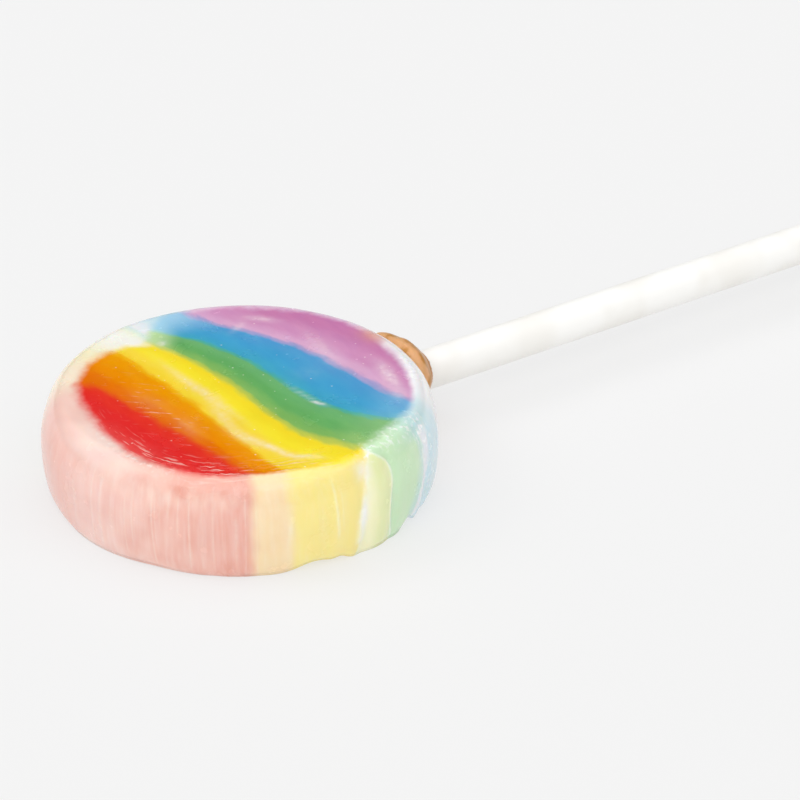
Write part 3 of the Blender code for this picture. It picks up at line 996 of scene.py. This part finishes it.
# %% Paper finish
# Pressed paper is a matt warm white, faintly mottled, with fibres that run along the stick
paper, tree, shader = new_material("rolled_white_paper")
position = add_node(tree, "ShaderNodeTexCoord").outputs["Object"]
fibre_place = add_node(tree, "ShaderNodeMapping", Vector=position, Scale=(350, 2600, 2600))
fibre = add_node(tree, "ShaderNodeTexNoise", Vector=fibre_place.outputs[0], Scale=1.0, Detail=4.0)
mottle = add_node(tree, "ShaderNodeTexNoise", Vector=position, Scale=160.0, Detail=2.0)
paper_ramp = add_node(tree, "ShaderNodeValToRGB", Fac=mottle.outputs["Fac"])
fill_ramp(paper_ramp, ((0.30, "#f3f1ec"), (0.60, "#f9f8f5")))
tree.links.new(paper_ramp.outputs["Color"], shader.inputs["Base Color"])
fibre_bump = add_node(
    tree, "ShaderNodeBump", Height=fibre.outputs["Fac"], Strength=0.25, Distance=0.03 * MM,
)
tree.links.new(fibre_bump.outputs[0], shader.inputs["Normal"])
set_values(shader, {"Roughness": 0.6, "IOR": 1.45})
stick.data.materials.append(paper)
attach(stick, "root")
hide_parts("paper_stick")
print("paper nodes", len(tree.nodes))

# %% [markdown]
# Table, light and air
#
# The picture is high key: big soft lights over a sheet of opal glass lit from below, so
# the only shadow is the thin one that hugs the foot. Two thirds of the table's brightness is
# its own glow, and four soft panels shape the head. Lamps close by would light it unevenly,
# so each panel is a sun lamp with a very wide disc.

# %% Table
FLOOR_HALF = 1.6
FLOOR_DROP = 0.02 * MM
TABLE_GLOW = 0.612

floor_mesh = bpy.data.meshes.new("table_top")
corners = np.array([[-1, -1, 0], [1, -1, 0], [1, 1, 0], [-1, 1, 0]]) * FLOOR_HALF
floor_mesh.from_pydata((corners - (0, 0, FLOOR_DROP)).tolist(), [], [(0, 1, 2, 3)])
floor = bpy.data.objects.new("table_top", floor_mesh)
bpy.context.scene.collection.objects.link(floor)
table, tree, shader = new_material("opal_glass_light_table")
set_values(shader, {
    "Base Color": linear("#8c8c8c"), "Emission Color": linear("#ffffff"),
    "Emission Strength": TABLE_GLOW, "Roughness": 0.9, "Specular IOR Level": 0.1,
})
floor_mesh.materials.append(table)
print("table", 2 * FLOOR_HALF, "m wide, glow", TABLE_GLOW)

# %% Lights
# Azimuth, elevation and width in degrees, then strength
OVERHEAD_PANEL = (-125, 84, 100, 1.61)
SIDE_PANELS = {
    "front_panel": (-136, 32, 60, 1.08),
    "right_panel": (-45, 28, 50, 0.30),
    "rim_panel": (138, 40, 30, 0.58),
}
WORLD_STRENGTH = 0.27


def soft_sun(name, azimuth, elevation, width, strength):
    """Sun lamp whose disc is width degrees wide, standing at an azimuth and elevation."""
    data = bpy.data.lights.new(name, "SUN")
    data.angle = math.radians(width)
    data.energy = strength
    sun = bpy.data.objects.new(name, data)
    sun.rotation_euler = (math.radians(90 - elevation), 0, math.radians(azimuth + 90))
    bpy.context.scene.collection.objects.link(sun)
    return sun


# Only the overhead panel and the table show in the gloss, so the dark stripes stay clear
soft_sun("overhead_panel", *OVERHEAD_PANEL)
for name, panel in SIDE_PANELS.items():
    soft_sun(name, *panel).visible_glossy = False

world = bpy.data.worlds.new("soft_air")
world.use_nodes = True
background = world.node_tree.nodes["Background"]
background.inputs["Color"].default_value = linear("#ffffff")
background.inputs["Strength"].default_value = WORLD_STRENGTH
bpy.context.scene.world = world
world.cycles_visibility.glossy = False
bpy.context.scene.view_settings.view_transform = "Standard"
print("panels", 1 + len(SIDE_PANELS))
